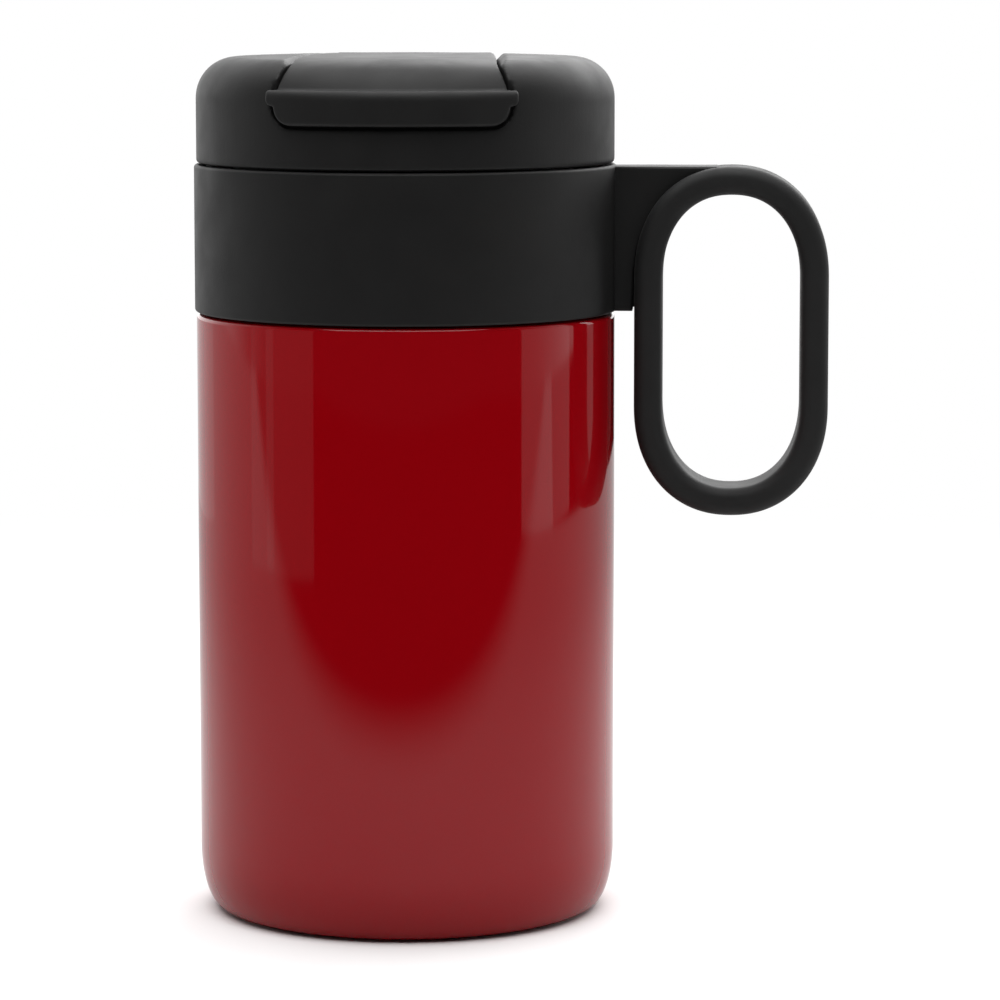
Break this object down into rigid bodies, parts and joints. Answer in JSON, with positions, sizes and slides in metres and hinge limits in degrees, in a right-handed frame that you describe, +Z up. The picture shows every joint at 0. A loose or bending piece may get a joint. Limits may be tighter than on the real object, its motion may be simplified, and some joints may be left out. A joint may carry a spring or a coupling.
{
  "type": "insulated travel mug",
  "caption": "Double-walled steel travel mug with a side loop handle on a neck collar and a screw-in lid whose flip cap opens over the drinking hole.",
  "frame": {"origin": "centre of the base, on the foot pad's underside, on the mug's axis", "axes": "+Z up along the mug's axis, +X towards the handle, -Y towards the drinking side and the flip cap's thumb tab"},
  "size_m": [0.109, 0.0737, 0.148],
  "materials": {
    "red_paint": "glossy deep red lacquer with a slight metallic depth",
    "brushed_steel": "brushed round the cup",
    "plain_steel": "pressed sheet",
    "pin_steel": "ground pin",
    "foil": "bright foil",
    "glass_frit": "melted glass seal",
    "getter_metal": "sintered metal",
    "collar_plastic": "fine satin texture",
    "soft_grip": "soft-touch matt",
    "neck_plastic": "moulded, satin",
    "lid_plastic": "fine satin texture",
    "flip_plastic": "fine satin texture",
    "plug_plastic": "moulded, satin",
    "clear_silicone": "translucent silicone",
    "stopper_silicone": "matt silicone",
    "black_rubber": "matt silicone",
    "foam": "closed-cell foam"
  },
  "bodies": {
    "vessel": {"outer_shell": "red_paint", "inner_cup": "brushed_steel", "reflector_foil": "foil", "base_plate": "plain_steel", "vacuum_seal": "glass_frit", "getter": "getter_metal", "foot_pad": "black_rubber", "handle_collar": "collar_plastic", "handle_loop": "soft_grip", "neck_ring": "neck_plastic", "neck_gasket": "clear_silicone"},
    "lid_seal": {"lid_gasket": "clear_silicone"},
    "lid": {"lid_cap": "lid_plastic", "lid_plug": "plug_plastic", "lid_insulation": "foam", "spout_gasket": "clear_silicone", "vent_gasket": "clear_silicone", "hinge_pin": "pin_steel"},
    "flip": {"flip_cap": "flip_plastic", "spout_stopper": "stopper_silicone", "vent_stopper": "stopper_silicone"}
  },
  "joints": [
    {"name": "lid_rise", "type": "slide", "parent": "vessel", "child": "lid_seal", "axis": [0, 0, 1], "range_m": [0, 0.018]},
    {"name": "lid_turn", "type": "hinge", "parent": "lid_seal", "child": "lid", "pos_m": [0, 0, 0.129], "axis": [0, 0, 1], "range_deg": [0, 720]},
    {"name": "flip_open", "type": "hinge", "parent": "lid", "child": "flip", "pos_m": [0, 0.0275, 0.1436], "axis": [-1, 0, 0], "range_deg": [0, 120]}
  ],
  "couplings": [
    {"joint": "lid_rise", "follows": "lid_turn", "m_per_rad": 0.0014324}
  ]
}
